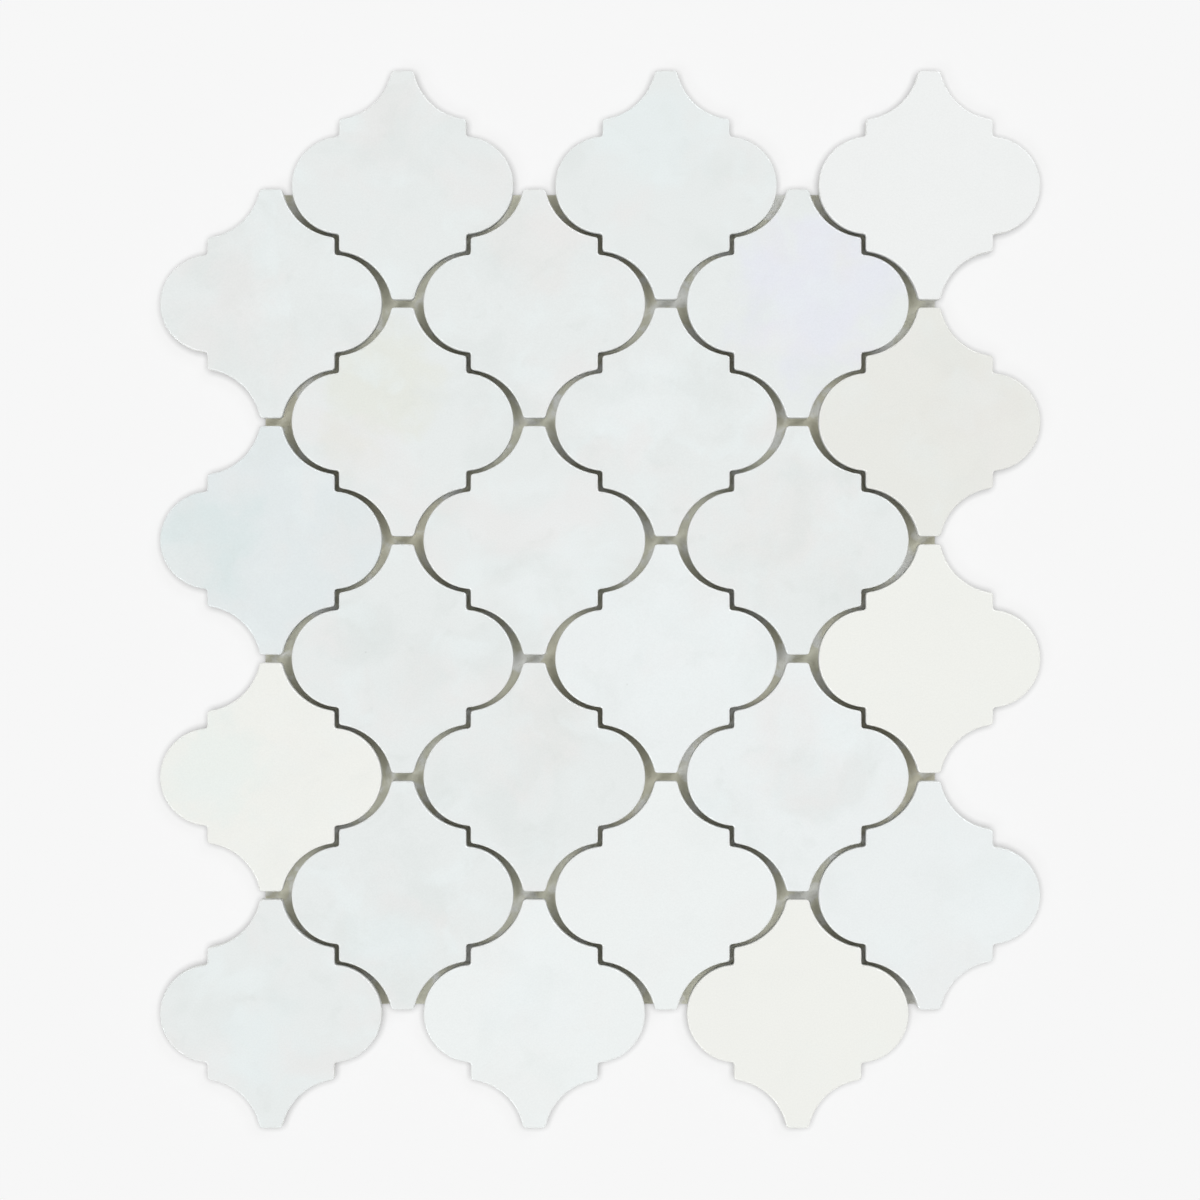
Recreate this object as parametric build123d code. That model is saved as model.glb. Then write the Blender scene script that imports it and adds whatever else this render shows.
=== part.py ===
from build123d import *

import os

# A sheet of lantern-shaped marble tiles, cut by water jet and bonded face up to a glass-fibre mesh.
# Millimetres. The sheet lies flat: +X runs across it, +Y up it and +Z out of the polished face.
# The origin is the middle of the sheet, on the underside of the mesh.

# Stone
tile_width = 64.0        # across the two round bulges
tile_height = 66.0       # from neck end to neck end
tile_thickness = 9.5
neck_width = 6.4         # flat end of a neck
step_height = 5.0        # upright step between a bulge and a neck

# Open joints between the tiles
neck_end_joint = 2.3     # between two necks that meet end to end
neck_side_joint = 2.8    # between a neck and the bulge beside it, at the neck's end
crescent_joint = 1.6     # between a neck and the bulge beside it, halfway along the curve
shoulder_joint = 1.0     # between a bulge and a neck, next to the step
step_joint = 1.3         # between two upright steps

# Sheet
columns = 3
rows = 8

# Mesh
mesh_thickness = 0.5
mesh_margin = 1.3        # how far the mesh's edges keep inside the necks that they run under

# The grid: each row is shifted by half a column pitch against the next
column_pitch = tile_width + neck_width + 2 * neck_side_joint
row_pitch = (tile_height + neck_end_joint) / 2

# One tile's outline, measured from its centre
bulge_tip_x = tile_width / 2
neck_end_y = tile_height / 2
step_x = (column_pitch / 2 - step_joint) / 2
bulge_top_y = (row_pitch - shoulder_joint - step_height) / 2
shoulder_y = bulge_top_y + step_height
bulge_depth = bulge_tip_x - step_x
bulge_radius = (bulge_depth**2 + bulge_top_y**2) / (2 * bulge_depth)

# The neck curves round the neighbour's bulge, with the joint between them
neighbour_bulge = Vector(column_pitch / 2 - bulge_tip_x + bulge_radius, row_pitch)
neck_middle = neighbour_bulge - Vector(1, 1).normalized() * (bulge_radius + crescent_joint)


def lantern_outline():
    """The tile's outline as a face: two round bulges, two necks and a step at each of their four meetings."""
    neck_curve = ThreePointArc((neck_width / 2, neck_end_y), neck_middle, (step_x, shoulder_y))
    step = Line((step_x, shoulder_y), (step_x, bulge_top_y))
    bulge = ThreePointArc((step_x, bulge_top_y), (bulge_tip_x, 0), (step_x, -bulge_top_y))
    neck_end = Line((-neck_width / 2, neck_end_y), (neck_width / 2, neck_end_y))
    upper_right = [neck_curve, step]
    right = [*upper_right, *(mirror(edge, about=Plane.XZ) for edge in upper_right), bulge]
    left = [mirror(edge, about=Plane.YZ) for edge in right]
    return make_face([*right, *left, neck_end, mirror(neck_end, about=Plane.XZ)])


def tile_centre(row, column):
    """Where a tile stands on the sheet. Row 0 is at the top, and even rows are shifted to the right."""
    shift = column_pitch / 4 if row % 2 == 0 else -column_pitch / 4
    x = (column - (columns - 1) / 2) * column_pitch + shift
    y = ((rows - 1) / 2 - row) * row_pitch
    return x, y


def mesh_backing():
    """The mesh: a rectangle that bridges every joint, with its edges hidden under the outermost necks."""
    last_column_x, _ = tile_centre(0, columns - 1)
    _, second_row_y = tile_centre(1, 0)
    width = 2 * (last_column_x + neck_width / 2 - mesh_margin)
    height = 2 * (second_row_y + neck_end_y - mesh_margin)
    return extrude(Rectangle(width, height), mesh_thickness)


os.makedirs("parts", exist_ok=True)

tile = extrude(lantern_outline(), tile_thickness)
for row in range(rows):
    for column in range(columns):
        x, y = tile_centre(row, column)
        placed = Pos(x, y, mesh_thickness) * tile
        export_step(placed, f"parts/lantern_tile_r{row + 1}_c{column + 1}.step")

export_step(mesh_backing(), "parts/mesh_backing.step")
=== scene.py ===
import logging
import math
import random
from dataclasses import dataclass, field
from enum import Enum
from typing import Any

import bmesh
import bpy
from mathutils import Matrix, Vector


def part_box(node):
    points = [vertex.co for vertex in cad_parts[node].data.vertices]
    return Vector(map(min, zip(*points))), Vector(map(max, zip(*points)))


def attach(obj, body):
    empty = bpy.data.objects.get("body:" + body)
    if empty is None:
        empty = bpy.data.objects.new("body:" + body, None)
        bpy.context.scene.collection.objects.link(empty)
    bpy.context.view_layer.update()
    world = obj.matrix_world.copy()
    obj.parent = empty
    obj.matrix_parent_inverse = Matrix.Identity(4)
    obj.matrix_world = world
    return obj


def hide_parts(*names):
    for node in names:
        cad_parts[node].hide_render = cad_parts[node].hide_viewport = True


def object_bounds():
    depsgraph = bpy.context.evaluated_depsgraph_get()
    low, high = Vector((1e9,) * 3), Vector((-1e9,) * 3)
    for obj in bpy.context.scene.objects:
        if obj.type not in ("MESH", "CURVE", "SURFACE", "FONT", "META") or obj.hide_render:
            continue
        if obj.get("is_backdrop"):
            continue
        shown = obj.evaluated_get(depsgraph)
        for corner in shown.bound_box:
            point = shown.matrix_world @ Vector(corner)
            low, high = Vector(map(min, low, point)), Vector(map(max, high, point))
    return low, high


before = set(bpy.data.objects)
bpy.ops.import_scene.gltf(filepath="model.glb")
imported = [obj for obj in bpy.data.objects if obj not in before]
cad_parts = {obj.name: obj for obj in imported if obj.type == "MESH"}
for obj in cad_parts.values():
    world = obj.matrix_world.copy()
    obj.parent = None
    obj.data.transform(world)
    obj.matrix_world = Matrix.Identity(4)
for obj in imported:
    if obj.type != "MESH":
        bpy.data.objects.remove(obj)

log = logging.getLogger("lantern_mosaic")

MM = 0.001
Colour = tuple[float, float, float]
Range = tuple[float, float]


class Value:
    """An output of a node. Arithmetic on it adds Math nodes to the node's tree."""

    def __init__(self, board: "Board", socket: bpy.types.NodeSocket | None) -> None:
        """Keeps the socket and the board it is on."""
        self.board = board
        self.socket = socket

    def output(self, name: str) -> "Value":
        """Another output of the same node."""
        return Value(self.board, self.board.pick(self.socket.node.outputs, name))

    def __add__(self, other: "Value | float") -> "Value":
        """self + other"""
        return self.board.math("ADD", self, other)

    def __radd__(self, other: float) -> "Value":
        """other + self"""
        return self.board.math("ADD", other, self)

    def __sub__(self, other: "Value | float") -> "Value":
        """self - other"""
        return self.board.math("SUBTRACT", self, other)

    def __rsub__(self, other: float) -> "Value":
        """other - self"""
        return self.board.math("SUBTRACT", other, self)

    def __mul__(self, other: "Value | float") -> "Value":
        """self * other"""
        return self.board.math("MULTIPLY", self, other)

    def __rmul__(self, other: float) -> "Value":
        """other * self"""
        return self.board.math("MULTIPLY", other, self)

    def __truediv__(self, other: "Value | float") -> "Value":
        """self / other"""
        return self.board.math("DIVIDE", self, other)

    def __rtruediv__(self, other: float) -> "Value":
        """other / self"""
        return self.board.math("DIVIDE", other, self)


class Board:
    """Adds nodes to a shader tree or a Geometry Nodes tree, and joins their sockets."""

    def __init__(self, tree: bpy.types.NodeTree) -> None:
        """Keeps the tree."""
        self.tree = tree

    @staticmethod
    def pick(sockets: Any, key: str | int) -> bpy.types.NodeSocket:
        """A socket by its place, or by the name of one that is in use."""
        named = (socket for socket in sockets if socket.name == key and socket.enabled)
        return sockets[key] if isinstance(key, int) else next(named)

    def add(
        self,
        kind: str,
        settings: dict[str, Any] | None = None,
        sockets: dict[str | int, Any] | None = None,
    ) -> Value:
        """Adds one node.

        Args:
            kind: The node's type.
            settings: The node's own properties, which are set first.
            sockets: A value, a Value or a list of Values for each input, by name or place.

        Returns:
            The node's first output.
        """
        node = self.tree.nodes.new(kind)
        for name, setting in (settings or {}).items():
            setattr(node, name, setting)
        for key, given in (sockets or {}).items():
            target = self.pick(node.inputs, key)
            for item in given if isinstance(given, list) else [given]:
                if isinstance(item, Value):
                    self.tree.links.new(item.socket, target)
                else:
                    target.default_value = item
        return Value(self, next((socket for socket in node.outputs if socket.enabled), None))

    def math(self, operation: str, *terms: Value | float) -> Value:
        """A Math node on these terms."""
        return self.add("ShaderNodeMath", {"operation": operation}, dict(enumerate(terms)))

    def vector_math(self, operation: str, *terms: Any) -> Value:
        """A Vector Math node on these terms."""
        return self.add("ShaderNodeVectorMath", {"operation": operation}, dict(enumerate(terms)))

    def scaled(self, vector: Value, factor: Value | float) -> Value:
        """A vector times a number."""
        return self.add("ShaderNodeVectorMath", {"operation": "SCALE"}, {"Vector": vector, "Scale": factor})

    def vector(self, x: Value | float = 0.0, y: Value | float = 0.0, z: Value | float = 0.0) -> Value:
        """A vector from its three parts."""
        return self.add("ShaderNodeCombineXYZ", None, {"X": x, "Y": y, "Z": z})

    def lifted(self, vector: Value, height: Value | float) -> Value:
        """A vector raised by a height."""
        return self.vector_math("ADD", vector, self.vector(0.0, 0.0, height))

    def parts(self, vector: Value) -> tuple[Value, Value, Value]:
        """The three parts of a vector."""
        split = self.add("ShaderNodeSeparateXYZ", None, {"Vector": vector})
        return split.output("X"), split.output("Y"), split.output("Z")

    def fade(self, value: Value, low: float, high: float) -> Value:
        """A smooth step from 0 at low to 1 at high."""
        ends = {"Value": value, "From Min": low, "From Max": high}
        return self.add("ShaderNodeMapRange", {"interpolation_type": "SMOOTHSTEP"}, ends)

    def noise(self, place: Value, grain: float, detail: float = 3.0, distortion: float = 0.0) -> Value:
        """Soft noise around 0.5, by its features' size in metres, its finer layers and its curl."""
        sockets = {"Vector": place, "Scale": 1.0 / grain, "Detail": detail, "Distortion": distortion}
        return self.add("ShaderNodeTexNoise", None, sockets)

    def wander(self, place: Value, grain: float, detail: float = 3.0) -> Value:
        """A soft random vector around zero, with each part from about -0.5 to 0.5."""
        colour = self.noise(place, grain, detail).output("Color")
        return self.vector_math("SUBTRACT", colour, (0.5, 0.5, 0.5))

    def mixed(self, factor: Value | float, first: Any, second: Any, blend: str = "MIX") -> Value:
        """Two colours mixed.

        Args:
            factor: How much of the second colour there is.
            first: The first colour, three numbers or a Value.
            second: The second colour.
            blend: How the second colour goes over the first.

        Returns:
            The mixed colour.
        """
        first, second = (c if isinstance(c, Value) else (*c, 1.0) for c in (first, second))
        sockets = {"Factor": factor, "A": first, "B": second}
        return self.add("ShaderNodeMix", {"data_type": "RGBA", "blend_type": blend}, sockets)


class Finish(Board):
    """The nodes of one material."""

    def __init__(self, name: str) -> None:
        """Starts an empty material."""
        self.material = bpy.data.materials.new(name)
        self.material.use_nodes = True
        self.material.node_tree.nodes.clear()
        super().__init__(self.material.node_tree)

    def coordinates(self) -> Value:
        """Where each point lies, in metres."""
        return self.add("ShaderNodeTexCoord").output("Object")

    def kept(self, name: str, part: str) -> Value:
        """A value that the piece's mesh keeps under this name."""
        return self.add("ShaderNodeAttribute", {"attribute_name": name}).output(part)

    def turned(self, vector: Value, angle: Value) -> Value:
        """A vector turned about the upright axis."""
        sockets = {"Vector": vector, "Angle": angle}
        return self.add("ShaderNodeVectorRotate", {"rotation_type": "Z_AXIS"}, sockets)

    def surface(
        self, colour: Value, roughness: Value, relief: Value, strength: float, depth: float, ior: float
    ) -> bpy.types.Material:
        """Ends the material with one shader over a bump.

        Args:
            colour: Its colour.
            roughness: How matt it is.
            relief: Its fine relief, from 0 to about 1.
            strength: How strongly the relief shows.
            depth: The relief's depth in metres.
            ior: Its index of refraction.

        Returns:
            The material.
        """
        bump = self.add("ShaderNodeBump", None, {"Strength": strength, "Distance": depth, "Height": relief})
        sockets = {"Base Color": colour, "Roughness": roughness, "Normal": bump, "IOR": ior}
        shader = self.add("ShaderNodeBsdfPrincipled", None, sockets)
        self.add("ShaderNodeOutputMaterial", None, {"Surface": shader})
        return self.material


class Kind(Enum):
    """A kind of value in a Geometry Nodes tree: its socket, and its type where a mesh keeps it."""

    NUMBER = ("NodeSocketFloat", "FLOAT")
    COUNT = ("NodeSocketInt", "INT")
    VECTOR = ("NodeSocketVector", "FLOAT_VECTOR")
    COLOUR = ("NodeSocketColor", "FLOAT_COLOR")
    MATERIAL = ("NodeSocketMaterial", "")


class GeometryRecipe(Board):
    """A Geometry Nodes tree with named inputs, and the plain meshes that come from it."""

    def __init__(self, name: str, inputs: dict[str, Kind]) -> None:
        """Starts the tree.

        Args:
            name: The tree's name.
            inputs: What each named input takes.
        """
        super().__init__(bpy.data.node_groups.new(name, "GeometryNodeTree"))
        self.identifiers = {}
        for label, kind in inputs.items():
            socket = self.tree.interface.new_socket(label, in_out="INPUT", socket_type=kind.value[0])
            self.identifiers[label] = socket.identifier
        self.tree.interface.new_socket("Geometry", in_out="OUTPUT", socket_type="NodeSocketGeometry")
        self.entry = self.tree.nodes.new("NodeGroupInput")

    def take(self, label: str) -> Value:
        """A named input, for use in the tree."""
        return Value(self, self.entry.outputs[label])

    def give(self, geometry: Value) -> None:
        """Ends the tree with this geometry."""
        self.add("NodeGroupOutput", None, {"Geometry": geometry})

    def drawn(self, other: "GeometryRecipe") -> Value:
        """What another tree makes from the inputs that have the same names here."""
        shared = {label: self.take(label) for label in other.identifiers}
        return self.add("GeometryNodeGroup", {"node_tree": other.tree}, shared)

    def position(self) -> Value:
        """Where each point is."""
        return self.add("GeometryNodeInputPosition")

    def line(self, start: Any, end: Any, count: Value | int) -> Value:
        """A straight curve with this many points."""
        run = self.add("GeometryNodeCurvePrimitiveLine", None, {"Start": start, "End": end})
        return self.add("GeometryNodeResampleCurve", {"mode": "COUNT"}, {"Curve": run, "Count": count})

    def join(self, *geometries: Value) -> Value:
        """Several geometries as one."""
        return self.add("GeometryNodeJoinGeometry", None, {"Geometry": list(geometries)})

    def weld(self, geometry: Value, distance: float) -> Value:
        """A geometry with the points merged that lie this close to each other."""
        return self.add("GeometryNodeMergeByDistance", None, {"Geometry": geometry, "Distance": distance})

    def move(self, geometry: Value, shift: Value) -> Value:
        """A geometry moved by a vector."""
        return self.add("GeometryNodeTransform", None, {"Geometry": geometry, "Translation": shift})

    def stretch(self, geometry: Value, factors: Any) -> Value:
        """A geometry stretched, or mirrored where a factor is negative."""
        return self.add("GeometryNodeTransform", None, {"Geometry": geometry, "Scale": factors})

    def grid(self, columns: Value, rows: Value, step_x: Value, step_y: Value) -> Value:
        """A flat grid of points round the origin."""
        size = {"Size X": (columns - 1.0) * step_x, "Size Y": (rows - 1.0) * step_y}
        return self.add("GeometryNodeMeshGrid", None, {**size, "Vertices X": columns, "Vertices Y": rows})

    def realize(self, geometry: Value) -> Value:
        """A geometry with its instances made real."""
        return self.add("GeometryNodeRealizeInstances", None, {"Geometry": geometry})

    def place(self, geometry: Value, position: Value, selection: Value | bool = True) -> Value:
        """A geometry with its selected points at a position."""
        moved = {"Geometry": geometry, "Selection": selection, "Position": position}
        return self.add("GeometryNodeSetPosition", None, moved)

    def shade(self, geometry: Value, domain: str, smooth: bool, selection: Value | bool = True) -> Value:
        """A geometry with its selected faces or edges smooth or flat."""
        shading = {"Geometry": geometry, "Selection": selection, "Shade Smooth": smooth}
        return self.add("GeometryNodeSetShadeSmooth", {"domain": domain}, shading)

    def dress(self, geometry: Value, label: str, selection: Value | bool = True) -> Value:
        """A geometry whose selected faces have the material of this input."""
        dressed = {"Geometry": geometry, "Selection": selection, "Material": self.take(label)}
        return self.add("GeometryNodeSetMaterial", None, dressed)

    def store(self, geometry: Value, kind: Kind, name: str, value: Any, domain: str = "POINT") -> Value:
        """A geometry that keeps a value, under a name that later nodes and materials read."""
        kept = {"Geometry": geometry, "Name": name, "Value": value}
        return self.add(
            "GeometryNodeStoreNamedAttribute", {"data_type": kind.value[1], "domain": domain}, kept
        )

    def read(self, kind: Kind, name: str) -> Value:
        """A value kept at each point."""
        return self.add("GeometryNodeInputNamedAttribute", {"data_type": kind.value[1]}, {"Name": name})

    def make(self, name: str, values: dict[str, Any]) -> bpy.types.Object:
        """Makes one piece as a plain mesh.

        Args:
            name: The piece's name.
            values: A value for each named input.

        Returns:
            The piece, at the origin, with its place in its mesh and its faces outwards.
        """
        piece = bpy.data.objects.new(name, bpy.data.meshes.new(name))
        bpy.context.scene.collection.objects.link(piece)
        modifier = piece.modifiers.new(self.tree.name, "NODES")
        modifier.node_group = self.tree
        for label, value in values.items():
            modifier[self.identifiers[label]] = value
        bpy.context.view_layer.update()
        graph = bpy.context.evaluated_depsgraph_get()
        mesh = bpy.data.meshes.new_from_object(
            piece.evaluated_get(graph), preserve_all_data_layers=True, depsgraph=graph
        )
        piece.modifiers.clear()
        mesh.name = name
        piece.data = mesh
        shell = bmesh.new()
        shell.from_mesh(mesh)
        bmesh.ops.recalc_face_normals(shell, faces=shell.faces)
        shell.to_mesh(mesh)
        shell.free()
        return piece


class Tone(Enum):
    """The shades that the polished marble comes in."""

    COOL_WHITE = (0.800, 0.832, 0.822)
    BRIGHT_WHITE = (0.850, 0.882, 0.872)
    CLEAR_WHITE = (0.858, 0.874, 0.864)
    PALE_AQUA = (0.832, 0.866, 0.862)
    BLUE_GREY = (0.762, 0.812, 0.816)
    WARM_GREY = (0.806, 0.812, 0.768)
    CREAM = (0.868, 0.876, 0.832)


class Patch(Enum):
    """A soft patch of another colour in a tile's stone, with how strongly it shows."""

    NONE = (0.80, 0.80, 0.80, 0.0)
    WHITE = (0.850, 0.895, 0.895, 0.45)
    AQUA = (0.790, 0.870, 0.872, 0.40)
    TEAL = (0.680, 0.775, 0.770, 0.58)
    MINT = (0.810, 0.865, 0.830, 0.65)
    WARM = (0.815, 0.790, 0.765, 0.38)
    TAUPE = (0.770, 0.765, 0.720, 0.35)
    YELLOW = (0.770, 0.775, 0.660, 0.42)
    VIOLET = (0.790, 0.804, 0.880, 0.75)
    GREY = (0.690, 0.735, 0.715, 0.34)


@dataclass(frozen=True)
class StoneLook:
    """How the stone of one tile looks. The patch's place from the tile's centre is in millimetres."""

    tone: Tone = Tone.COOL_WHITE
    patch: Patch = Patch.NONE
    patch_x: float = 0.0
    patch_y: float = 0.0
    patch_reach: float = 16.0
    clouding: float = 1.0


@dataclass(frozen=True)
class Cloud:
    """One tint of cloud in the stone: where its noise is read, what of the noise shows, and how strongly."""

    tint: Colour
    offset: float
    grain: float
    shows: Range
    strength: float


@dataclass(frozen=True)
class LanternOutline:
    """A tile's outline and how the outlines nest in each other, in metres."""

    tile_width: float = 64.0 * MM
    tile_height: float = 66.0 * MM
    neck_width: float = 6.4 * MM
    step_height: float = 5.0 * MM
    neck_end_joint: float = 2.3 * MM
    neck_side_joint: float = 2.8 * MM
    crescent_joint: float = 1.6 * MM
    shoulder_joint: float = 1.0 * MM
    step_joint: float = 1.3 * MM
    columns: int = 3
    rows: int = 8
    neck_points: int = 44
    step_points: int = 11
    bulge_points: int = 92
    neck_end_points: int = 15
    corner_easing: float = 0.8

    INPUTS = dict.fromkeys(("Neck Corner", "Neck Middle", "Step Top", "Step Foot", "Bulge Tip"), Kind.VECTOR)

    @property
    def column_pitch(self) -> float:
        """From one tile to the next in a row."""
        return self.tile_width + self.neck_width + 2 * self.neck_side_joint

    @property
    def row_pitch(self) -> float:
        """From one row to the next."""
        return (self.tile_height + self.neck_end_joint) / 2

    def points(self) -> dict[str, tuple[float, float, float]]:
        """Works out what the upper right quarter of the outline runs through.

        Returns:
            Each point by its name, measured from the tile's centre.
        """
        tip_x = self.tile_width / 2
        step_x = (self.column_pitch / 2 - self.step_joint) / 2
        foot_y = (self.row_pitch - self.shoulder_joint - self.step_height) / 2
        depth = tip_x - step_x
        bulge_radius = (depth**2 + foot_y**2) / (2 * depth)
        inward = (bulge_radius + self.crescent_joint) / math.sqrt(2)
        middle_x = self.column_pitch / 2 - tip_x + bulge_radius - inward
        return {
            "Neck Corner": (self.neck_width / 2, self.tile_height / 2, 0.0),
            "Neck Middle": (middle_x, self.row_pitch - inward, 0.0),
            "Step Top": (step_x, foot_y + self.step_height, 0.0),
            "Step Foot": (step_x, foot_y, 0.0),
            "Bulge Tip": (tip_x, 0.0, 0.0),
        }

    def recipe(self) -> GeometryRecipe:
        """Draws the outline.

        Returns:
            The tree of one closed curve round the origin, with its corners just eased.
        """
        recipe = GeometryRecipe("Lantern outline", self.INPUTS)
        corner, middle, top, foot, tip = (recipe.take(name) for name in self.INPUTS)
        over, across = (1.0, -1.0, 1.0), (-1.0, 1.0, 1.0)

        def arc(start: Value, through: Value, end: Value, count: int) -> Value:
            """A round stretch of the outline."""
            ends = {"Resolution": count, "Start": start, "Middle": through, "End": end}
            return recipe.add("GeometryNodeCurveArc", {"mode": "POINTS"}, ends)

        neck = arc(corner, middle, top, self.neck_points)
        quarter = recipe.join(neck, recipe.line(top, foot, self.step_points))
        bulge = arc(foot, tip, recipe.vector_math("MULTIPLY", foot, over), self.bulge_points)
        half = recipe.join(quarter, recipe.stretch(quarter, over), bulge)
        far_corner = recipe.vector_math("MULTIPLY", corner, across)
        neck_end = recipe.line(corner, far_corner, self.neck_end_points)
        ends = recipe.join(neck_end, recipe.stretch(neck_end, over))
        whole = recipe.join(half, recipe.stretch(half, across), ends)
        loop = recipe.weld(recipe.add("GeometryNodeCurveToMesh", None, {"Curve": whole}), 0.002 * MM)
        loop = recipe.add("GeometryNodeMeshToCurve", None, {"Mesh": loop})
        blur = {"Value": recipe.position(), "Iterations": 2, "Weight": self.corner_easing}
        eased = recipe.add("GeometryNodeBlurAttribute", {"data_type": "FLOAT_VECTOR"}, blur)
        recipe.give(recipe.place(loop, eased))
        return recipe


@dataclass(frozen=True)
class PolishedMarble:
    """The face: soft clouds of pale tints, small smudges, a few specks, fine crystals and a high polish."""

    drift: float = 22.0 * MM
    drift_grain: float = 1.0 / 45.0
    mottle_grain: float = 6.0 * MM
    crystal_grain: float = 0.45 * MM
    patch_grain: float = 15.0 * MM
    patch_fade: Range = (1.0, 0.35)
    clouds: tuple[Cloud, ...] = (
        Cloud((0.690, 0.732, 0.712), 0.0, 21.0 * MM, (0.48, 0.70), 0.30),
        Cloud((0.830, 0.890, 0.888), 3.1, 18.0 * MM, (0.50, 0.68), 0.44),
        Cloud((0.835, 0.806, 0.792), 5.7, 25.0 * MM, (0.48, 0.68), 0.40),
        Cloud((0.640, 0.680, 0.655), 8.3, 8.0 * MM, (0.58, 0.76), 0.18),
    )
    specks_per_metre: float = 70.0
    speck_choice: Range = (0.80, 0.82)
    speck_fade: Range = (0.030, 0.012)
    speck: Colour = (0.520, 0.540, 0.520)
    worn: Colour = (0.880, 0.880, 0.860)

    def colour(self, board: Finish) -> tuple[Value, Value, Value]:
        """The stone's colour, with the noises that its other sockets use.

        Args:
            board: The material's nodes.

        Returns:
            The colour, the mottling and the crystals.
        """
        coordinates = board.coordinates()
        place = board.vector_math("ADD", coordinates, board.kept("slab_shift", "Vector"))
        bend = board.scaled(board.wander(place, self.drift_grain), self.drift)
        drifted = board.vector_math("ADD", place, bend)
        clouding = board.kept("clouding", "Fac")
        mottle = board.noise(place, self.mottle_grain, 4.0)
        crystals = board.noise(place, self.crystal_grain, 1.0)

        away = board.vector_math("DISTANCE", coordinates, board.kept("patch_at", "Vector")).output("Value")
        ragged = 1.9 * (board.noise(drifted, self.patch_grain, 5.0) - 0.5) + 0.5 * (mottle - 0.5)
        patch = board.fade(away / board.kept("patch_reach", "Fac") + ragged, *self.patch_fade)
        patch = patch * board.kept("patch_tint", "Alpha")
        colour = board.mixed(patch, board.kept("stone_tone", "Color"), board.kept("patch_tint", "Color"))

        for cloud in self.clouds:
            shift = (cloud.offset, -cloud.offset, 2.0 * cloud.offset)
            cover = board.noise(board.vector_math("ADD", drifted, shift), cloud.grain, 5.0)
            cover = board.fade(cover, *cloud.shows) * clouding * cloud.strength
            colour = board.mixed(cover, colour, cloud.tint)

        cell = board.add("ShaderNodeTexVoronoi", None, {"Vector": place, "Scale": self.specks_per_metre})
        chosen = board.fade(board.parts(cell.output("Color"))[0], *self.speck_choice)
        spot = board.fade(cell.output("Distance"), *self.speck_fade) * chosen * clouding
        colour = board.mixed(spot * 0.40, colour, self.speck)
        sparkle = 0.960 + 0.08 * crystals
        colour = board.mixed(1.0, colour, board.vector(sparkle, sparkle, sparkle), "MULTIPLY")
        return colour, mottle, crystals

    def material(self) -> bpy.types.Material:
        """Makes the finish.

        Returns:
            The material of the polished faces and their eased edges.
        """
        board = Finish("polished_marble")
        colour, mottle, crystals = self.colour(board)
        eased = board.kept("eased", "Fac")
        return board.surface(
            colour=board.mixed(eased * 0.35, colour, self.worn),
            roughness=0.11 + 0.10 * mottle + 0.40 * eased,
            relief=crystals + 0.4 * mottle,
            strength=0.05,
            depth=0.02 * MM,
            ior=1.54,
        )


@dataclass(frozen=True)
class CutEdge:
    """The sides: matt stone with the fine upright lines that a water jet leaves, coarser lower down."""

    line_grain: float = 0.75 * MM
    line_stretch: float = 0.06
    line_fade: Range = (0.40, 0.62)
    pit_grain: float = 0.9 * MM
    pit_fade: Range = (0.62, 0.74)
    coarser: Range = (8.0 * MM, 1.0 * MM)
    trail: float = 3.2
    trail_from: float = 5.0 * MM
    stone: Colour = (0.920, 0.920, 0.900)
    groove: Colour = (0.610, 0.620, 0.600)

    def material(self) -> bpy.types.Material:
        """Makes the finish.

        Returns:
            The material of the tiles' sides.
        """
        board = Finish("cut_marble_edge")
        colour, mottle, crystals = PolishedMarble().colour(board)
        height = board.parts(board.coordinates())[2]
        run = board.kept("edge_run", "Vector")
        trailing = board.turned(run, self.trail * (height - self.trail_from))
        lines = board.noise(board.lifted(trailing, height * self.line_stretch), self.line_grain, 2.0)
        pits = board.noise(board.lifted(run, height), self.pit_grain, 3.0)
        grooves = board.fade(lines, *self.line_fade) * (0.25 + 0.75 * board.fade(height, *self.coarser))
        colour = board.mixed(0.65, colour, self.stone)
        colour = board.mixed(0.16 * grooves + 0.10 * board.fade(pits, *self.pit_fade), colour, self.groove)
        return board.surface(
            colour=colour,
            roughness=0.58 + 0.15 * crystals + 0.08 * mottle,
            relief=grooves + 0.4 * pits,
            strength=0.7,
            depth=0.22 * MM,
            ior=1.54,
        )


@dataclass(frozen=True)
class SawnBack:
    """The back: matt stone with the long marks of the gang saw, and a thin haze of adhesive."""

    saw_grain: float = 1.1 * MM
    saw_stretch: float = 0.03
    haze_grain: float = 13.0 * MM
    haze_fade: Range = (0.48, 0.68)
    sawn: Colour = (0.720, 0.725, 0.700)
    haze: Colour = (0.600, 0.580, 0.470)

    def material(self) -> bpy.types.Material:
        """Makes the finish.

        Returns:
            The material of the tiles' backs.
        """
        board = Finish("sawn_marble_back")
        colour, mottle, crystals = PolishedMarble().colour(board)
        coordinates = board.coordinates()
        turned = board.turned(coordinates, board.kept("saw_turn", "Fac"))
        stretched = board.vector_math("MULTIPLY", turned, (1.0, self.saw_stretch, 1.0))
        marks = board.noise(stretched, self.saw_grain, 3.0)
        haze = board.fade(board.noise(coordinates, self.haze_grain, 4.0, 0.6), *self.haze_fade)
        colour = board.mixed(0.45 + 0.25 * marks, colour, self.sawn)
        return board.surface(
            colour=board.mixed(haze * 0.40, colour, self.haze),
            roughness=0.72 - 0.30 * haze + 0.08 * mottle,
            relief=marks + 0.3 * crystals,
            strength=0.5,
            depth=0.10 * MM,
            ior=1.5,
        )


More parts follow.
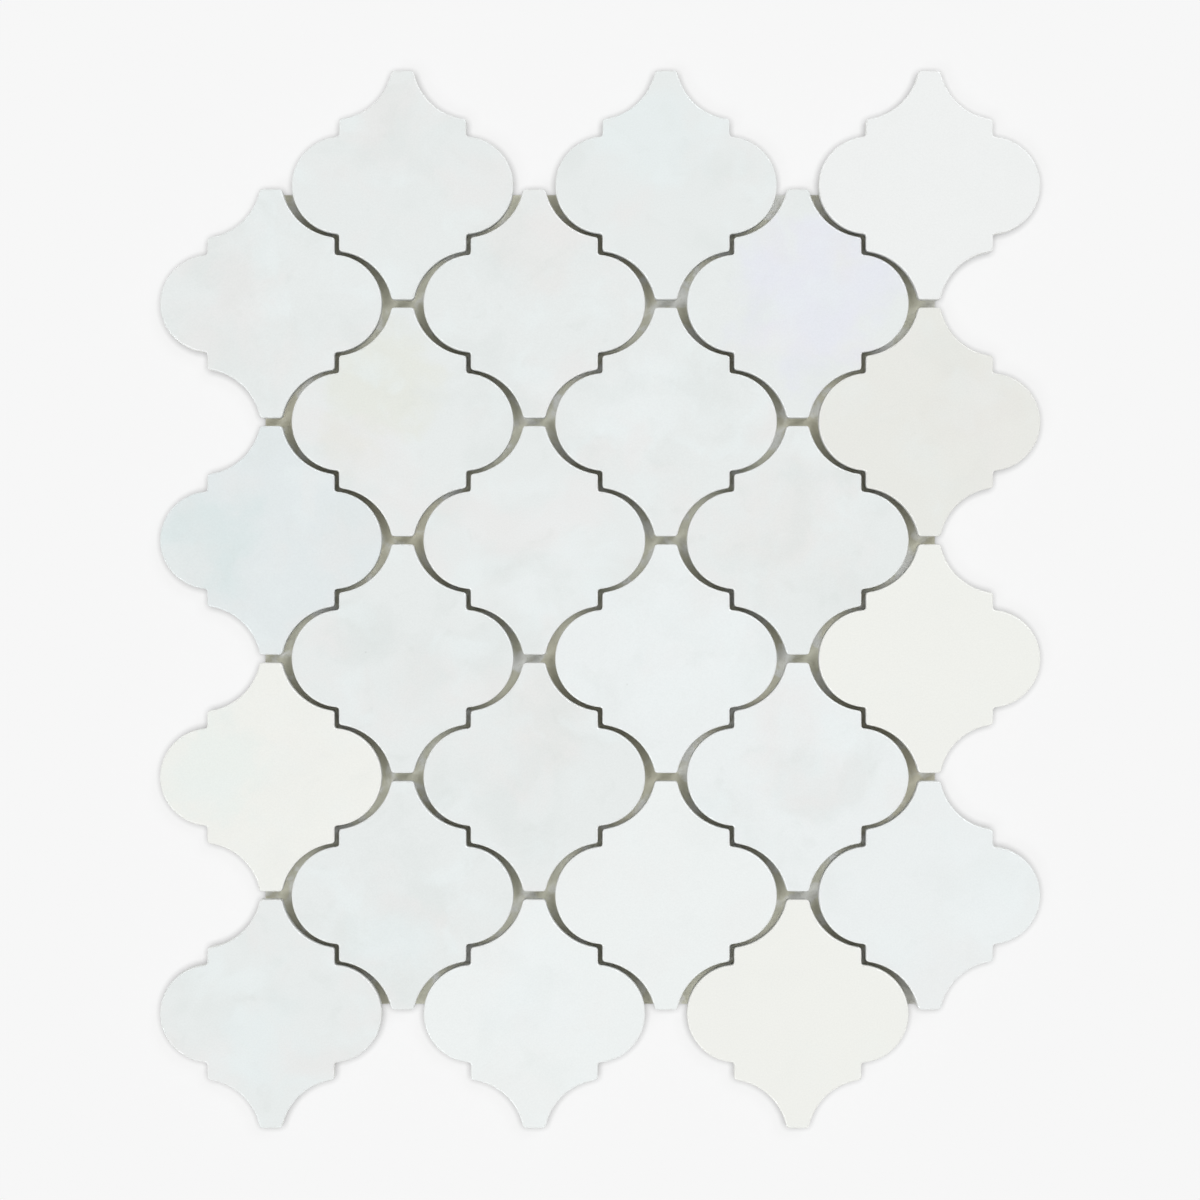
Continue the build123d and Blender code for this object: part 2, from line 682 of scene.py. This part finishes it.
@dataclass(frozen=True)
class JointAdhesive:
    """The resin that bonds the net: a pale olive, uneven and slightly shiny, with stone dust in it."""

    broad_grain: float = 7.0 * MM
    fine_grain: float = 0.8 * MM
    warmth_grain: float = 70.0 * MM
    resin: Colour = (0.655, 0.645, 0.525)
    ochre: Colour = (0.655, 0.615, 0.465)
    dusty: Colour = (0.780, 0.780, 0.740)
    dark: Colour = (0.550, 0.540, 0.425)

    def material(self) -> bpy.types.Material:
        """Makes the finish.

        Returns:
            The material of the adhesive.
        """
        board = Finish("joint_adhesive")
        coordinates = board.coordinates()
        broad = board.noise(coordinates, self.broad_grain, 4.0, 0.5)
        fine = board.noise(coordinates, self.fine_grain, 4.0)
        warmth = board.fade(board.noise(coordinates, self.warmth_grain, 2.0), 0.48, 0.62)
        colour = board.mixed(warmth * 0.5, self.resin, self.ochre)
        colour = board.mixed(board.fade(broad, 0.48, 0.64), colour, self.dusty)
        return board.surface(
            colour=board.mixed(board.fade(fine, 0.55, 0.75) * 0.5, colour, self.dark),
            roughness=0.32 + 0.35 * fine,
            relief=fine + 0.6 * broad,
            strength=0.6,
            depth=0.10 * MM,
            ior=1.48,
        )


@dataclass(frozen=True)
class GlassYarn:
    """The net's yarn: bundles of pale glass filaments, stiffened and stained here and there by the resin,
    with painted shade in the hollows between filaments.
    """

    filament_grain: float = 0.045 * MM
    filament_stretch: float = 0.02
    stain_grain: float = 11.0 * MM
    yarn: Colour = (0.800, 0.795, 0.740)
    stained: Colour = (0.640, 0.610, 0.480)
    # Painted shade: a darker colour laid in the hollows between the filaments.
    hollow: Colour = (0.430, 0.420, 0.370)

    def material(self) -> bpy.types.Material:
        """Makes the finish.

        Returns:
            The material of the net.
        """
        board = Finish("glass_yarn")
        stretch = (self.filament_stretch, 1.0, 1.0)
        fibres = board.vector_math("MULTIPLY", board.kept("fibre_run", "Vector"), stretch)
        filaments = board.noise(fibres, self.filament_grain, 2.0)
        stain = board.fade(board.noise(board.coordinates(), self.stain_grain, 4.0, 0.5), 0.46, 0.64)
        colour = board.mixed(stain * 0.75, self.yarn, self.stained)
        return board.surface(
            # Painted shade: the hollow colour goes where the filament relief is low.
            colour=board.mixed(board.fade(filaments, 0.60, 0.40) * 0.35, colour, self.hollow),
            roughness=0.42 + 0.2 * filaments,
            relief=filaments,
            strength=0.6,
            depth=0.04 * MM,
            ior=1.5,
        )


@dataclass
class LanternTiles:
    """The stone: rows of lantern tiles with open joints, each cut from its own place in the slab."""

    outline: LanternOutline
    looks: dict[tuple[int, int], StoneLook]
    arris: float = 0.40 * MM
    chip: float = 0.42 * MM
    wear_grain: float = 9.0 * MM
    nick_grain: float = 6.0 * MM
    nick_fade: Range = (0.72, 0.86)
    wall_spans: int = 4
    arris_spans: int = 5
    sharp_angle: float = 0.6
    seed: int = 11
    pieces: list[bpy.types.Object] = field(default_factory=list)

    STONE = {
        "Stone Tone": Kind.COLOUR,
        "Patch At": Kind.VECTOR,
        "Patch Tint": Kind.COLOUR,
        "Patch Reach": Kind.NUMBER,
        "Clouding": Kind.NUMBER,
        "Slab Shift": Kind.VECTOR,
        "Saw Turn": Kind.NUMBER,
    }
    INPUTS = {
        **LanternOutline.INPUTS,
        **STONE,
        "Centre": Kind.VECTOR,
        **dict.fromkeys(("Back", "Face", "Arris", "Chip", "Seed"), Kind.NUMBER),
        **dict.fromkeys(("Polished", "Cut", "Sawn"), Kind.MATERIAL),
    }

    def rail(self, recipe: GeometryRecipe, outline: GeometryRecipe) -> Value:
        """Draws the outline that the wall follows.

        Args:
            recipe: The tile's tree.
            outline: The tree that draws the tile's outline.

        Returns:
            The outline, which keeps at each point its way out, its place, its run round the tile and how
            far the edge is eased there.
        """
        rail = recipe.add("GeometryNodeSetCurveNormal", {"mode": "Z_UP"}, {"Curve": recipe.drawn(outline)})
        position = recipe.position()
        normal = recipe.add("GeometryNodeInputNormal")
        facing = recipe.math("SIGN", recipe.vector_math("DOT_PRODUCT", normal, position).output("Value"))
        turn = recipe.add("GeometryNodeSplineParameter").output("Factor") * (2.0 * math.pi)
        radius = recipe.add("GeometryNodeSplineLength").output("Length") / (2.0 * math.pi)
        run = recipe.vector(radius * recipe.math("COSINE", turn), radius * recipe.math("SINE", turn))
        place = recipe.lifted(position, recipe.take("Seed"))
        wear = recipe.noise(place, self.wear_grain, 1.0)
        nicks = recipe.fade(recipe.noise(place, self.nick_grain, 3.0), *self.nick_fade)
        ease = recipe.take("Arris") * (0.85 + 0.30 * wear) + recipe.take("Chip") * nicks
        rail = recipe.store(rail, Kind.VECTOR, "outward", recipe.scaled(normal, facing))
        rail = recipe.store(rail, Kind.VECTOR, "outline_at", position)
        rail = recipe.store(rail, Kind.VECTOR, "run", run)
        return recipe.store(rail, Kind.NUMBER, "ease", ease)

    def inset(self, recipe: GeometryRecipe, distance: Value) -> Value:
        """A place this far inside the outline."""
        inward = recipe.scaled(recipe.read(Kind.VECTOR, "outward"), distance)
        return recipe.vector_math("SUBTRACT", recipe.read(Kind.VECTOR, "outline_at"), inward)

    def wall(self, recipe: GeometryRecipe, rail: Value) -> Value:
        """Raises the side of a tile, upright and then round the eased edge.

        Args:
            recipe: The tile's tree.
            rail: The outline that the wall follows.

        Returns:
            The wall, with its materials.
        """
        spans = self.wall_spans + self.arris_spans
        rise = recipe.line((0.0, 0.0, 0.0), (0.0, 1.0 * MM, 0.0), spans + 1)
        share = recipe.add("GeometryNodeSplineParameter").output("Factor")
        rise = recipe.store(rise, Kind.NUMBER, "rise", share)
        wall = recipe.add("GeometryNodeCurveToMesh", None, {"Curve": rail, "Profile Curve": rise})

        back, ease = recipe.take("Back"), recipe.read(Kind.NUMBER, "ease")
        climb = recipe.read(Kind.NUMBER, "rise") / (self.wall_spans / spans)
        upright = recipe.math("MINIMUM", climb, 1.0)
        bend = recipe.math("MAXIMUM", climb - 1.0, 0.0) * (self.wall_spans / self.arris_spans * math.pi / 2)
        inset = ease * (1.0 - recipe.math("COSINE", bend))
        height = back + (recipe.take("Face") - ease - back) * upright + ease * recipe.math("SINE", bend)
        wall = recipe.place(wall, recipe.lifted(self.inset(recipe, inset), height))
        wall = recipe.store(wall, Kind.NUMBER, "eased", recipe.math("SINE", bend * 2.0))
        wall = recipe.store(wall, Kind.VECTOR, "edge_run", recipe.read(Kind.VECTOR, "run"), "CORNER")
        curved = recipe.math("GREATER_THAN", climb, 1.02)
        wall = recipe.dress(recipe.dress(wall, "Cut"), "Polished", curved)
        return recipe.shade(wall, "FACE", True)

    def cap(self, recipe: GeometryRecipe, curve: Value, level: str, finish: str) -> Value:
        """Closes a tile with a flat face.

        Args:
            recipe: The tile's tree.
            curve: The face's outline.
            level: The input that gives the face's height.
            finish: The input that gives the face's material.

        Returns:
            The face.
        """
        flat = recipe.add("GeometryNodeFillCurve", {"mode": "NGONS"}, {"Curve": curve})
        lift = {"Geometry": flat, "Offset": recipe.vector(0.0, 0.0, recipe.take(level))}
        flat = recipe.shade(recipe.add("GeometryNodeSetPosition", None, lift), "FACE", False)
        return recipe.dress(flat, finish)

    def recipe(self, outline: GeometryRecipe) -> GeometryRecipe:
        """Shapes one tile: an upright wall, an eased edge, a polished face and a sawn back.

        Args:
            outline: The tree that draws the tile's outline.

        Returns:
            The tile's tree.
        """
        recipe = GeometryRecipe("Lantern tile", self.INPUTS)
        rail = self.rail(recipe, outline)
        wall = self.wall(recipe, rail)
        rim = recipe.place(rail, self.inset(recipe, recipe.read(Kind.NUMBER, "ease")))
        face, back = self.cap(recipe, rim, "Face", "Polished"), self.cap(recipe, rail, "Back", "Sawn")
        tile = recipe.weld(recipe.join(face, back, wall), 0.001 * MM)
        angle = recipe.add("GeometryNodeInputMeshEdgeAngle").output("Unsigned Angle")
        tile = recipe.shade(tile, "EDGE", False, recipe.math("GREATER_THAN", angle, self.sharp_angle))
        tile = recipe.move(tile, recipe.take("Centre"))
        for label, kind in self.STONE.items():
            tile = recipe.store(tile, kind, label.lower().replace(" ", "_"), recipe.take(label))
        for helper in ("outward", "outline_at", "run", "rise", "ease"):
            tile = recipe.add("GeometryNodeRemoveAttribute", None, {"Geometry": tile, "Name": helper})
        recipe.give(recipe.realize(tile))
        return recipe

    def build(self, outline: GeometryRecipe) -> None:
        """Makes every tile in the place of its solid, in its own stone.

        Args:
            outline: The tree that draws the tile's outline.
        """
        recipe = self.recipe(outline)
        finishes = {
            "Polished": PolishedMarble().material(),
            "Cut": CutEdge().material(),
            "Sawn": SawnBack().material(),
        }
        draw = random.Random(self.seed)
        for row in range(1, self.outline.rows + 1):
            for column in range(1, self.outline.columns + 1):
                node = f"lantern_tile_r{row}_c{column}"
                low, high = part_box(node)
                centre = (low + high) / 2
                look = self.looks.get((row, column), StoneLook())
                patch_x, patch_y = centre.x + look.patch_x * MM, centre.y + look.patch_y * MM
                piece = recipe.make(
                    f"{node}_stone",
                    {
                        **self.outline.points(),
                        **finishes,
                        "Centre": (centre.x, centre.y, 0.0),
                        "Back": low.z,
                        "Face": high.z,
                        "Arris": self.arris,
                        "Chip": self.chip,
                        "Seed": draw.uniform(1.0, 9.0),
                        "Stone Tone": (*look.tone.value, 1.0),
                        "Patch At": (patch_x, patch_y, high.z),
                        "Patch Tint": look.patch.value,
                        "Patch Reach": look.patch_reach * MM,
                        "Clouding": look.clouding,
                        "Slab Shift": tuple(draw.uniform(-3.0, 3.0) for _ in range(3)),
                        "Saw Turn": draw.uniform(0.0, math.pi),
                    },
                )
                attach(piece, "root")
                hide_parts(node)
                self.pieces.append(piece)


@dataclass
class NetBacking:
    """The back: a woven glass net, and the resin that fills its meshes along the joints."""

    outline: LanternOutline
    pitch: float = 5.0 * MM
    trim: float = 0.8 * MM
    yarn_width: float = 0.62 * MM
    yarn_thickness: float = 0.26 * MM
    yarn_sides: int = 6
    yarn_steps: float = 4.0
    weave: float = 0.105 * MM
    sway: float = 0.9 * MM
    sway_grain: float = 1.0 / 22.0
    net_clearance: float = 0.02 * MM
    resin_reach: float = 4.3 * MM
    resin_uneven: float = 5.0 * MM
    resin_grain: float = 17.0 * MM
    resin_underside: float = 0.20 * MM
    resin_sag: float = 0.13 * MM
    pieces: list[bpy.types.Object] = field(default_factory=list)

    GRID = {
        **dict.fromkeys(("Width", "Length", "Pitch"), Kind.NUMBER),
        **dict.fromkeys(("Yarns Across", "Yarns Along"), Kind.COUNT),
    }

    def waves(self, recipe: GeometryRecipe, wave: str) -> Value:
        """A pattern of hills and hollows in step with the yarns.

        Args:
            recipe: The tree that uses it.
            wave: COSINE for hills at the crossings, or SINE for hills in the meshes between them.

        Returns:
            The pattern at each point, from -1 to 1.
        """
        x, y, _ = recipe.parts(recipe.position())
        pitch = recipe.take("Pitch")
        across, along = recipe.take("Yarns Across"), recipe.take("Yarns Along")
        over = recipe.math(wave, (x / pitch + (across - 1.0) / 2.0) * math.pi)
        return over * recipe.math(wave, (y / pitch + (along - 1.0) / 2.0) * math.pi)

    def yarns(self, recipe: GeometryRecipe, ring: Value, turned: bool) -> Value:
        """Lays one set of yarns, which sway a little and pass over and under the other set.

        Args:
            recipe: The net's tree.
            ring: A yarn's section.
            turned: Whether the yarns run along the net and not across it.

        Returns:
            The yarns.
        """

        def aimed(value: Value, with_yarns: bool) -> Value:
            """A vector along the yarns, or square to them."""
            return recipe.vector(0.0, value) if turned == with_yarns else recipe.vector(value)

        pitch = recipe.take("Pitch")
        length = recipe.take("Length" if turned else "Width") - self.trim
        count = recipe.take("Yarns Across" if turned else "Yarns Along")
        half = length / 2.0
        steps = recipe.math("ROUND", length / pitch * self.yarn_steps) + 1.0
        yarn = recipe.line(aimed(-1.0 * half, True), aimed(half, True), steps)
        first = aimed((count - 1.0) * pitch / -2.0, False)
        spread = {"Count": count, "Start Location": first, "Offset": aimed(pitch, False)}
        starts = recipe.add("GeometryNodeMeshLine", {"mode": "OFFSET"}, spread)
        rows = recipe.add("GeometryNodeInstanceOnPoints", None, {"Points": starts, "Instance": yarn})
        rows = recipe.realize(rows)
        position = recipe.position()
        x, y, _ = recipe.parts(position)
        lift = recipe.take("Weave") * self.waves(recipe, "COSINE") * (-1.0 if turned else 1.0)
        sway = recipe.wander(position, self.sway_grain, 1.0)
        sway = recipe.vector_math("MULTIPLY", sway, (self.sway, self.sway, 0.0))
        woven = recipe.vector_math("ADD", recipe.vector(x, y, recipe.take("Level") + lift), sway)
        rows = recipe.place(rows, woven)
        rows = recipe.add("GeometryNodeSetCurveNormal", {"mode": "Z_UP"}, {"Curve": rows})
        tube = {"Curve": rows, "Profile Curve": ring, "Fill Caps": True}
        tubes = recipe.add("GeometryNodeCurveToMesh", None, tube)
        run = recipe.vector(y, x, recipe.parts(position)[2]) if turned else position
        return recipe.store(tubes, Kind.VECTOR, "fibre_run", run)

    def net_recipe(self) -> GeometryRecipe:
        """Weaves the net.

        Returns:
            The tree of two sets of flat yarns that pass over and under each other.
        """
        sizes = dict.fromkeys(("Yarn Width", "Yarn Thickness", "Weave", "Level"), Kind.NUMBER)
        recipe = GeometryRecipe("Glass net", {**self.GRID, **sizes, "Yarn": Kind.MATERIAL})
        circle = {"Resolution": self.yarn_sides, "Radius": 0.5}
        ring = recipe.add("GeometryNodeCurvePrimitiveCircle", None, circle)
        section = recipe.vector(recipe.take("Yarn Width"), recipe.take("Yarn Thickness"), 1.0)
        ring = recipe.stretch(ring, section)
        net = recipe.join(self.yarns(recipe, ring, False), self.yarns(recipe, ring, True))
        net = recipe.realize(recipe.shade(net, "FACE", True))
        recipe.give(recipe.dress(net, "Yarn"))
        return recipe

    def tile_edges(self, recipe: GeometryRecipe, outline: GeometryRecipe) -> Value:
        """Draws every tile's outline where it stands.

        Args:
            recipe: The resin's tree.
            outline: The tree that draws a tile's outline.

        Returns:
            The outlines as edges.
        """
        column_pitch, row_pitch = recipe.take("Column Pitch"), recipe.take("Row Pitch")
        rows = recipe.grid(recipe.take("Columns"), recipe.take("Row Pairs"), column_pitch, row_pitch * 2.0)
        shift = recipe.vector(column_pitch / 4.0, row_pitch / 2.0)
        centres = recipe.join(recipe.move(rows, shift), recipe.move(rows, recipe.scaled(shift, -1.0)))
        tiles = {"Points": centres, "Instance": recipe.drawn(outline)}
        tiles = recipe.realize(recipe.add("GeometryNodeInstanceOnPoints", None, tiles))
        return recipe.add("GeometryNodeCurveToMesh", None, {"Curve": tiles})

    def film(self, recipe: GeometryRecipe, edges: Value) -> Value:
        """Spreads the resin over the net's meshes that a joint passes over.

        Args:
            recipe: The resin's tree.
            edges: The tiles' outlines.

        Returns:
            The resin as one flat sheet with holes.
        """

        def trimmed(value: Value, side: str) -> Value:
            """A coordinate kept inside the net's width or length."""
            half = recipe.take(side) / 2.0
            return recipe.math("MAXIMUM", recipe.math("MINIMUM", value, half), -1.0 * half)

        pitch = recipe.take("Pitch")
        across, along = recipe.take("Yarns Across"), recipe.take("Yarns Along")
        meshes = recipe.grid(across + 2.0, along + 2.0, pitch, pitch)
        x, y, _ = recipe.parts(recipe.position())
        meshes = recipe.place(meshes, recipe.vector(trimmed(x, "Width"), trimmed(y, "Length")))
        away = recipe.add("GeometryNodeProximity", {"target_element": "EDGES"}, {"Geometry": edges})
        uneven = self.resin_uneven * (recipe.noise(recipe.position(), self.resin_grain, 2.0) - 0.4)
        far = recipe.math("GREATER_THAN", away.output("Distance") - uneven, recipe.take("Reach"))
        bare = {"Geometry": meshes, "Selection": far}
        film = recipe.add("GeometryNodeDeleteGeometry", {"domain": "FACE"}, bare)
        return recipe.add("GeometryNodeSubdivideMesh", None, {"Mesh": film, "Level": 2})

    def resin_recipe(self, outline: GeometryRecipe) -> GeometryRecipe:
        """Fills the net's meshes with resin, which sags up between the yarns underneath.

        Args:
            outline: The tree that draws a tile's outline.

        Returns:
            The resin's tree.
        """
        recipe = GeometryRecipe(
            "Joint resin",
            {
                **LanternOutline.INPUTS,
                **self.GRID,
                **dict.fromkeys(("Column Pitch", "Row Pitch", "Reach", "Underside", "Top"), Kind.NUMBER),
                **dict.fromkeys(("Columns", "Row Pairs"), Kind.COUNT),
                "Resin": Kind.MATERIAL,
            },
        )
        film = self.film(recipe, self.tile_edges(recipe, outline))
        x, y, z = recipe.parts(recipe.position())
        grown = recipe.add("GeometryNodeExtrudeMesh", {"mode": "FACES"}, {"Mesh": film, "Individual": False})
        top = recipe.place(grown, recipe.vector(x, y, recipe.take("Top")), grown.output("Top"))
        floor = recipe.add("GeometryNodeFlipFaces", None, {"Mesh": film})
        solid = recipe.weld(recipe.join(top, floor), 0.001 * MM)
        hollow = self.waves(recipe, "SINE")
        under = recipe.vector(x, y, recipe.take("Underside") + hollow * hollow * self.resin_sag)
        solid = recipe.place(solid, under, recipe.math("LESS_THAN", z, 0.1 * MM))
        recipe.give(recipe.dress(recipe.realize(solid), "Resin"))
        return recipe

    def build(self, outline: GeometryRecipe) -> None:
        """Makes the net and its resin in the place of the backing's solid.

        Args:
            outline: The tree that draws a tile's outline.
        """
        low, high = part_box("mesh_backing")
        size = high - low
        shared = {
            "Width": size.x,
            "Length": size.y,
            "Pitch": self.pitch,
            "Yarns Across": int(size.x / self.pitch) + 1,
            "Yarns Along": int(size.y / self.pitch) + 1,
        }
        net = self.net_recipe().make(
            "backing_net",
            {
                **shared,
                "Yarn Width": self.yarn_width,
                "Yarn Thickness": self.yarn_thickness,
                "Weave": self.weave,
                "Level": low.z + self.yarn_thickness / 2 + self.weave + self.net_clearance,
                "Yarn": GlassYarn().material(),
            },
        )
        resin = self.resin_recipe(outline).make(
            "joint_resin",
            {
                **self.outline.points(),
                **shared,
                "Column Pitch": self.outline.column_pitch,
                "Row Pitch": self.outline.row_pitch,
                "Columns": self.outline.columns,
                "Row Pairs": self.outline.rows // 2,
                "Reach": self.resin_reach,
                "Underside": low.z + self.resin_underside,
                "Top": high.z,
                "Resin": JointAdhesive().material(),
            },
        )
        for piece in (net, resin):
            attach(piece, "root")
            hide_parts("mesh_backing")
            self.pieces.append(piece)


@dataclass
class Studio:
    """The floor, the light and the camera straight above the sheet."""

    view_width: float = 346.1 * MM
    aim_x: float = -0.05 * MM
    aim_y: float = -0.15 * MM
    lens: float = 240.0
    sensor: float = 36.0
    floor_size: float = 6.0
    floor_tone: Colour = (0.930, 0.930, 0.930)
    floor_glow: float = 0.88
    # The next three set a painted contact shadow: how much the floor's glow darkens, by ambient occlusion,
    # within this reach of the sheet.
    painted_contact_shadow: float = 0.75
    painted_shadow_reach: float = 2.0 * MM
    painted_shadow_samples: int = 8
    sky: float = 0.40
    zenith: float = 0.45
    zenith_fade: Range = (0.78, 1.0)
    sky_tint: Colour = (1.035, 1.010, 0.960)
    key: float = 0.850
    key_tint: Colour = (0.966, 0.990, 1.046)
    key_height: float = 68.0
    key_spread: float = 20.0
    key_sides: tuple[float, ...] = (45.0, 225.0)

    def seen(self, board: Board) -> Value:
        """Tells what the camera sees from what only lights the scene.

        Args:
            board: The nodes of the floor or of the sky.

        Returns:
            1 for what shows directly, in a reflection or through glass, and 0 for light.
        """
        path = board.add("ShaderNodeLightPath")
        shown = board.math("MAXIMUM", path.output("Is Camera Ray"), path.output("Is Glossy Ray"))
        return board.math("MAXIMUM", shown, path.output("Is Transmission Ray"))

    def build_floor(self) -> None:
        """Lays a wide pale floor under the sheet, on which the real shadow stays faint and a painted contact
        shadow darkens the glow along the sheet's edges.
        """
        bpy.ops.mesh.primitive_plane_add(size=self.floor_size)
        floor = bpy.context.object
        floor.name = "studio_floor"
        board = Finish("pale_floor")
        paper = board.add("ShaderNodeBsdfDiffuse", None, {"Color": (*self.floor_tone, 1.0)})
        # Painted contact shadow: ambient occlusion darkens the floor's glow colour near the sheet's edges.
        reach = {"Distance": self.painted_shadow_reach}
        contact_occlusion = board.add("ShaderNodeAmbientOcclusion", {"samples": self.painted_shadow_samples}, reach)
        tone = board.mixed(self.painted_contact_shadow * (1.0 - contact_occlusion.output("AO")), self.floor_tone, (0.0, 0.0, 0.0))
        glow = board.add("ShaderNodeEmission", None, {"Color": tone, "Strength": 1.0})
        mix = {0: self.seen(board) * self.floor_glow, 1: paper, 2: glow}
        board.add("ShaderNodeOutputMaterial", None, {"Surface": board.add("ShaderNodeMixShader", None, mix)})
        floor.data.materials.append(board.material)
        floor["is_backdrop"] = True

    def build_light(self) -> None:
        """Sets a sky that is brightest overhead, and a cooler lamp on each side as on a copying stand."""
        world = bpy.data.worlds.new("studio_sky")
        bpy.context.scene.world = world
        world.use_nodes = True
        world.node_tree.nodes.clear()
        board = Board(world.node_tree)
        height = board.parts(board.add("ShaderNodeTexCoord").output("Generated"))[2]
        around = tuple(self.sky * part for part in self.sky_tint)
        overhead = tuple((self.sky + self.zenith) * part for part in self.sky_tint)
        tone = board.mixed(board.fade(height, *self.zenith_fade), around, overhead)
        light = board.add("ShaderNodeBackground", None, {"Color": tone, "Strength": 1.0})
        white = {"Color": (*self.floor_tone, 1.0), "Strength": 1.0}
        backdrop = board.add("ShaderNodeBackground", None, white)
        sky = board.add("ShaderNodeMixShader", None, {0: self.seen(board), 1: light, 2: backdrop})
        board.add("ShaderNodeOutputWorld", None, {"Surface": sky})

        slope = math.radians(self.key_height)
        for number, side in enumerate(map(math.radians, self.key_sides), 1):
            lamp = bpy.data.lights.new(f"side_lamp_{number}", "SUN")
            lamp.energy = self.key
            lamp.color = self.key_tint
            lamp.angle = math.radians(self.key_spread)
            key = bpy.data.objects.new(lamp.name, lamp)
            bpy.context.scene.collection.objects.link(key)
            level = math.cos(slope)
            towards = Vector((level * math.cos(side), level * math.sin(side), math.sin(slope)))
            key.rotation_mode = "QUATERNION"
            key.rotation_quaternion = towards.to_track_quat("Z", "Y")
            key.location = towards

    def build_camera(self, face: float) -> None:
        """Sets the camera, which looks straight down at the sheet's middle.

        Args:
            face: The height of the polished faces.
        """
        data = bpy.data.cameras.new("overhead_camera")
        data.lens = self.lens
        data.sensor_width = self.sensor
        data.clip_start, data.clip_end = 0.01, 50.0
        camera = bpy.data.objects.new("overhead_camera", data)
        bpy.context.scene.collection.objects.link(camera)
        distance = self.view_width / self.sensor * self.lens
        camera.location = (self.aim_x, self.aim_y, face + distance)
        bpy.context.scene.camera = camera


LOOKS = {
    (1, 2): StoneLook(Tone.COOL_WHITE, Patch.AQUA, -4.0, 14.0, 20.0),
    (1, 3): StoneLook(Tone.CLEAR_WHITE, clouding=0.1),
    (2, 1): StoneLook(Tone.COOL_WHITE, Patch.GREY, -10.0, 10.0),
    (2, 2): StoneLook(Tone.COOL_WHITE, Patch.WARM, 0.0, 18.0, 18.0),
    (2, 3): StoneLook(Tone.COOL_WHITE, Patch.VIOLET, 5.0, 4.0, 30.0, 0.6),
    (3, 1): StoneLook(Tone.COOL_WHITE, Patch.YELLOW, -9.0, 9.0, 24.0),
    (3, 2): StoneLook(Tone.COOL_WHITE, Patch.WHITE, -8.0, 4.0, 18.0),
    (3, 3): StoneLook(Tone.WARM_GREY, Patch.TAUPE, 12.0, 6.0, 22.0, 0.5),
    (4, 1): StoneLook(Tone.BLUE_GREY, Patch.TEAL, -20.0, -1.0, 20.0, 0.7),
    (4, 2): StoneLook(Tone.COOL_WHITE, Patch.WHITE, 4.0, -4.0, 22.0),
    (4, 3): StoneLook(Tone.COOL_WHITE, Patch.WARM, -3.0, 4.0, 22.0),
    (5, 1): StoneLook(Tone.COOL_WHITE, Patch.GREY, -13.0, 8.0, 13.0),
    (5, 2): StoneLook(Tone.PALE_AQUA, Patch.WHITE, 2.0, 2.0, 24.0, 0.6),
    (5, 3): StoneLook(Tone.CREAM, clouding=0.1),
    (6, 1): StoneLook(Tone.CREAM, Patch.MINT, -16.0, 2.0, 20.0, 0.3),
    (6, 2): StoneLook(Tone.COOL_WHITE, Patch.WARM, 4.0, 18.0, 18.0),
    (6, 3): StoneLook(Tone.PALE_AQUA, Patch.GREY, 4.0, -4.0, 14.0),
    (7, 1): StoneLook(Tone.COOL_WHITE, Patch.AQUA, -4.0, -12.0, 14.0),
    (7, 2): StoneLook(Tone.BRIGHT_WHITE, clouding=0.35),
    (7, 3): StoneLook(Tone.PALE_AQUA, Patch.WHITE, 18.0, 2.0, 20.0, 0.5),
    (8, 1): StoneLook(Tone.COOL_WHITE, Patch.AQUA, -2.0, -8.0),
    (8, 2): StoneLook(Tone.BRIGHT_WHITE, Patch.WHITE, 0.0, 6.0, 24.0, 0.5),
    (8, 3): StoneLook(Tone.CREAM, clouding=0.15),
}


def main() -> None:
    """Builds the sheet, dresses it and lights it."""
    logging.basicConfig(level=logging.INFO, format="%(message)s")
    cad_low, cad_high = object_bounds()
    bpy.context.scene.view_settings.view_transform = "Standard"
    shape = LanternOutline()
    outline = shape.recipe()
    for assembly in (LanternTiles(shape, LOOKS), NetBacking(shape)):
        assembly.build(outline)
        for piece in assembly.pieces:
            log.info("%s: %d faces", piece.name, len(piece.data.polygons))
    studio = Studio()
    studio.build_floor()
    studio.build_light()
    studio.build_camera(cad_high.z)


if __name__ == "__main__":
    main()
